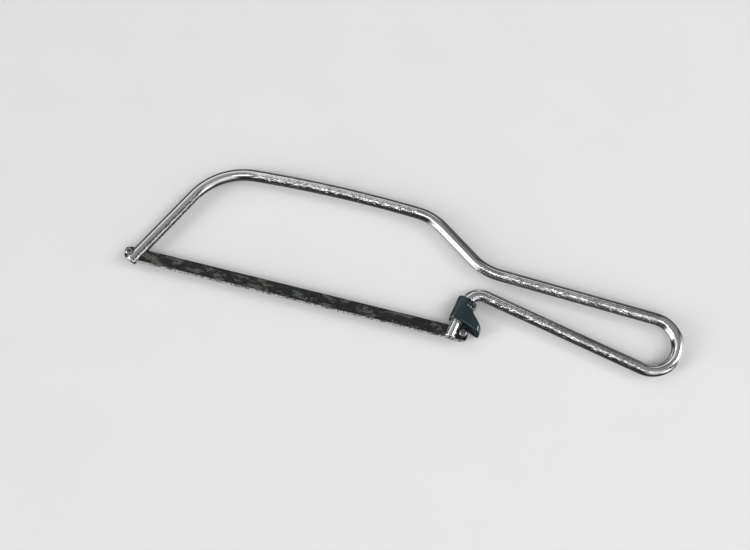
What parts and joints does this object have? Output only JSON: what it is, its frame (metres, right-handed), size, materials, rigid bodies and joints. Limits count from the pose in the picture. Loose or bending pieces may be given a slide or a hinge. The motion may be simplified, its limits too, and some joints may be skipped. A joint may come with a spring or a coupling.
{
  "type": "hacksaw",
  "caption": "Small metal-cutting hacksaw: one bent round rod forms the bow and an open loop handle, with a pin-end blade and a moulded finger guard.",
  "frame": {"origin": "Under the middle of the saw's box, on the surface that the saw lies on.", "axes": "X runs along the blade from the front pin to the handle, Y from the saw edge to the bow, Z square to the plane of the saw, up from the surface that it lies on."},
  "size_m": [0.2384, 0.0564, 0.0094],
  "materials": {
    "plated_rod": "bright nickel plate over drawn steel rod, slightly rough, with fine lengthwise draw lines",
    "guard_plastic": "glossy moulded plastic, blue-black",
    "blued_steel": "blued hardened strip with mottled bare patches and a bright saw edge",
    "dark_pin": "dark glossy hardened steel pin"
  },
  "bodies": {
    "handle": {"frame_handle": "plated_rod", "finger_guard": "guard_plastic"},
    "bow": {"frame_bow": "plated_rod"},
    "blade": {"saw_blade": "blued_steel", "front_blade_pin": "dark_pin", "rear_blade_pin": "dark_pin"}
  },
  "joints": [
    {"name": "frame_squeeze", "type": "hinge", "parent": "handle", "child": "bow", "pos_m": [0.02967, 0.00755, 0.0047], "axis": [0, 0, 1], "range_deg": [0, 3.5], "stiffness_Nm_per_rad": 5, "springref_deg": -1.15},
    {"name": "blade_swing", "type": "hinge", "parent": "bow", "child": "blade", "pos_m": [-0.11707, -0.02384, 0.0047], "axis": [0, 0, -1], "range_deg": [0, 75]}
  ]
}
